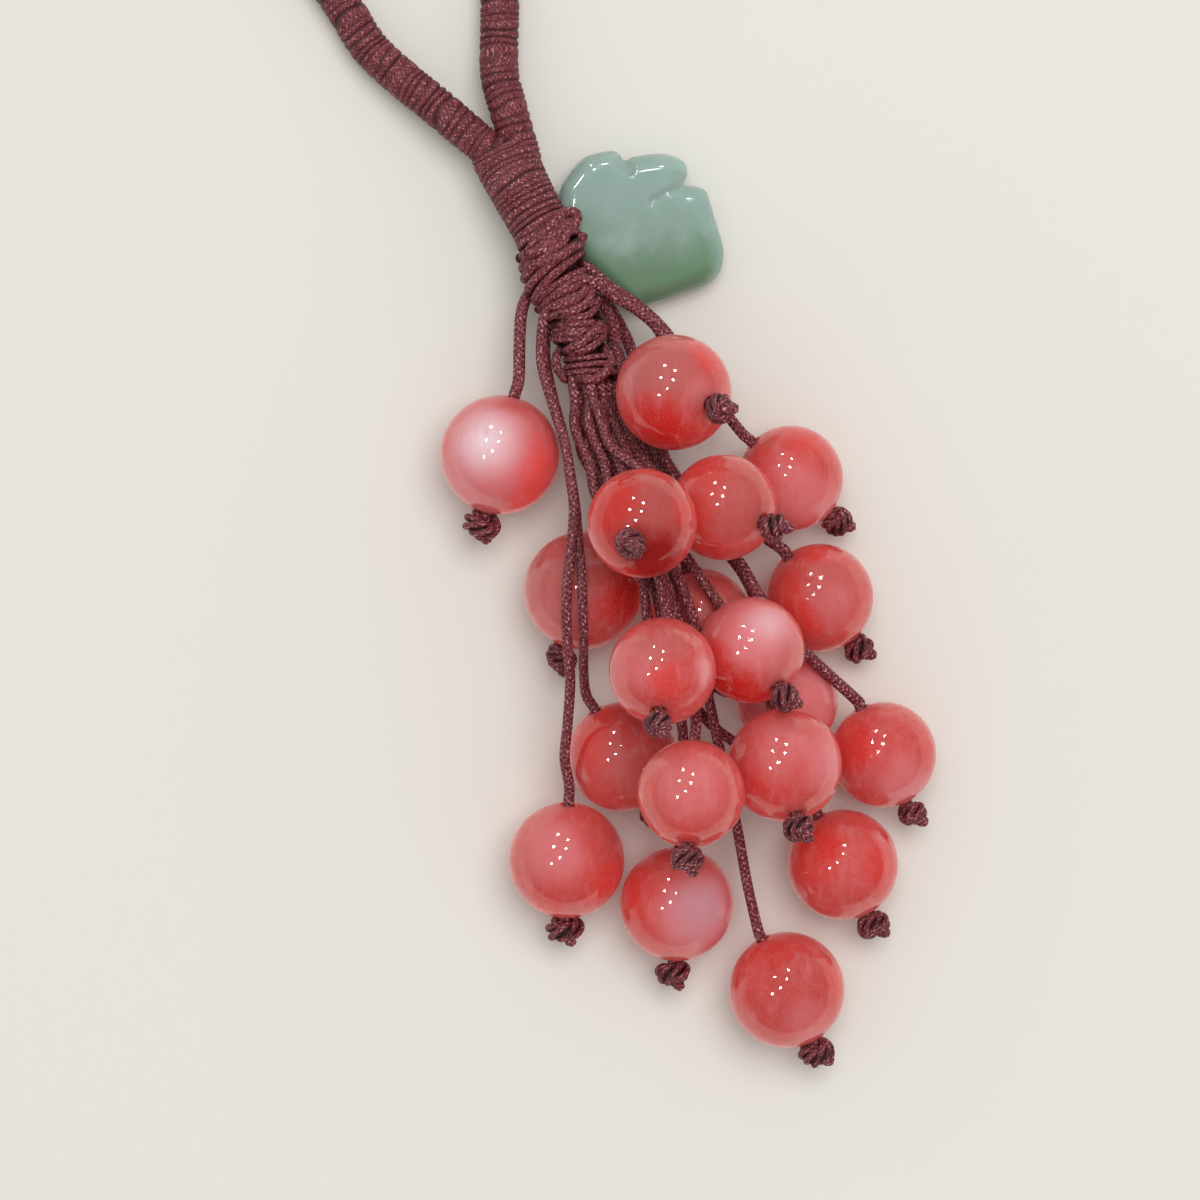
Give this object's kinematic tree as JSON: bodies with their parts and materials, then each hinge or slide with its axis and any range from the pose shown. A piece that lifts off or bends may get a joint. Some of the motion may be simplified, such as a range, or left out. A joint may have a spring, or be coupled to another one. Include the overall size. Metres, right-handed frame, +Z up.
{
  "type": "woven cord charm with beads and a leaf pendant",
  "caption": "Hanging charm: coral-coloured beads on braided threads, knotted with a jade-coloured leaf under a wrapped cord loop.",
  "frame": {"origin": "on the surface that the charm lies on, under the middle of the beads, leaf and stem", "axes": "+Z up from the surface, +Y from the lowest bead towards the hanging loop, +X to the leaf's side"},
  "size_m": [0.0795, 0.1674, 0.0308],
  "materials": {
    "loop_cord": "thread wound round a cord core",
    "wrapping": "tight thread whipping",
    "knot_cord": "knotted braided thread",
    "thread": "braided thread with pale flecks",
    "bead_stone": "polished, translucent, cloudy",
    "leaf_stone": "polished, translucent"
  },
  "bodies": {
    "root": {"hang_loop": "loop_cord", "stem_wrap": "wrapping", "gather_knots": "knot_cord", "leaf": "leaf_stone", "leaf_thread": "thread", "bead_01": "bead_stone", "bead_02": "bead_stone", "bead_03": "bead_stone", "bead_04": "bead_stone", "bead_05": "bead_stone", "bead_06": "bead_stone", "bead_07": "bead_stone", "bead_08": "bead_stone", "bead_09": "bead_stone", "bead_10": "bead_stone", "bead_11": "bead_stone", "bead_12": "bead_stone", "bead_13": "bead_stone", "bead_14": "bead_stone", "bead_15": "bead_stone", "bead_16": "bead_stone", "bead_17": "bead_stone", "bead_18": "bead_stone", "bead_19": "bead_stone", "thread_01": "thread", "thread_02": "thread", "thread_03": "thread", "thread_04": "thread", "thread_05": "thread", "thread_06": "thread", "thread_07": "thread", "thread_08": "thread", "thread_09": "thread", "thread_10": "thread", "thread_11": "thread", "thread_12": "thread", "thread_13": "thread", "thread_14": "thread", "thread_15": "thread", "thread_16": "thread", "thread_17": "thread", "thread_18": "thread", "thread_19": "thread"}
  },
  "joints": []
}
